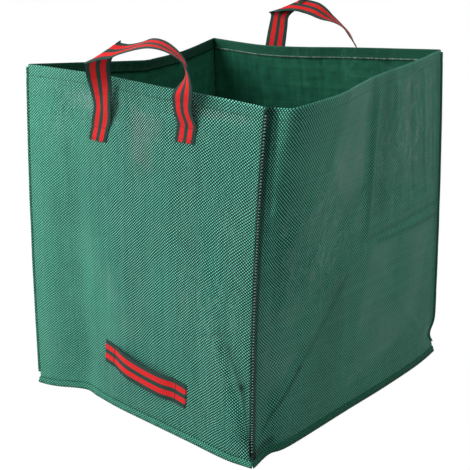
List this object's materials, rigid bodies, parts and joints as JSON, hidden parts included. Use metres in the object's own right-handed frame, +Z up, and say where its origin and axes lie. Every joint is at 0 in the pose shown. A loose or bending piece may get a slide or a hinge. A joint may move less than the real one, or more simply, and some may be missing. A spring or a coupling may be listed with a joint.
{
  "type": "garden leaf bag",
  "caption": "Open square garden waste bag of woven polypropylene, with webbing carry handles on two walls and a low tipping handle",
  "frame": {"origin": "middle of the base's underside, on the ground", "axes": "+Z up through the open top; the wall with the tipping handle faces -Y; +X to its right"},
  "size_m": [0.7667, 0.7655, 0.8686],
  "materials": {
    "woven_green": "woven polypropylene tape in two greens, slightly glossy, coated inside",
    "striped_webbing": "matte polypropylene webbing, dark green with two red stripes",
    "sewing_thread": "matte grey-green sewing thread"
  },
  "bodies": {
    "bag": {"front_panel": "woven_green", "right_panel": "woven_green", "back_panel": "woven_green", "left_panel": "woven_green", "base_panel": "woven_green", "left_front_corner_seam": "woven_green", "front_right_corner_seam": "woven_green", "right_back_corner_seam": "woven_green", "back_left_corner_seam": "woven_green", "front_base_seam": "woven_green", "right_base_seam": "woven_green", "back_base_seam": "woven_green", "left_base_seam": "woven_green", "front_hem_thread": "sewing_thread", "right_hem_thread": "sewing_thread", "back_hem_thread": "sewing_thread", "left_hem_thread": "sewing_thread", "front_handle_left_stitching": "sewing_thread", "front_handle_right_stitching": "sewing_thread", "back_handle_left_stitching": "sewing_thread", "back_handle_right_stitching": "sewing_thread", "tip_handle_left_stitching": "sewing_thread", "tip_handle_right_stitching": "sewing_thread", "front_handle_left_end": "striped_webbing", "front_handle_right_end": "striped_webbing", "back_handle_left_end": "striped_webbing", "back_handle_right_end": "striped_webbing", "tip_handle_left_end": "striped_webbing", "tip_handle_right_end": "striped_webbing"},
    "front_handle_legs": {"front_handle_left_leg": "striped_webbing", "front_handle_right_leg": "striped_webbing"},
    "back_handle_legs": {"back_handle_left_leg": "striped_webbing", "back_handle_right_leg": "striped_webbing"},
    "front_handle_loop": {"front_handle_loop": "striped_webbing"},
    "back_handle_loop": {"back_handle_loop": "striped_webbing"},
    "tip_handle": {"tip_handle_grip": "striped_webbing"}
  },
  "joints": [
    {"name": "front_handle_fold_out", "type": "hinge", "parent": "bag", "child": "front_handle_legs", "pos_m": [0.04108, -0.33312, 0.66913], "axis": [0.9884, -0.0533, 0.1422], "range_deg": [0, 140]},
    {"name": "front_handle_fold_in", "type": "hinge", "parent": "front_handle_legs", "child": "front_handle_loop", "pos_m": [0.03052, -0.3363, 0.766], "axis": [-0.9967, 0.0809, 0], "range_deg": [0, 80]},
    {"name": "back_handle_fold_out", "type": "hinge", "parent": "bag", "child": "back_handle_legs", "pos_m": [-0.00121, 0.31572, 0.66437], "axis": [-0.9908, -0.1336, -0.0214], "range_deg": [0, 140]},
    {"name": "back_handle_fold_in", "type": "hinge", "parent": "back_handle_legs", "child": "back_handle_loop", "pos_m": [-0.01203, 0.30387, 0.766], "axis": [0.9881, 0.1539, 0], "range_deg": [0, 95]},
    {"name": "tip_handle_pull", "type": "slide", "parent": "bag", "child": "tip_handle", "axis": [0, -1, 0], "range_m": [0, 0.02]}
  ]
}
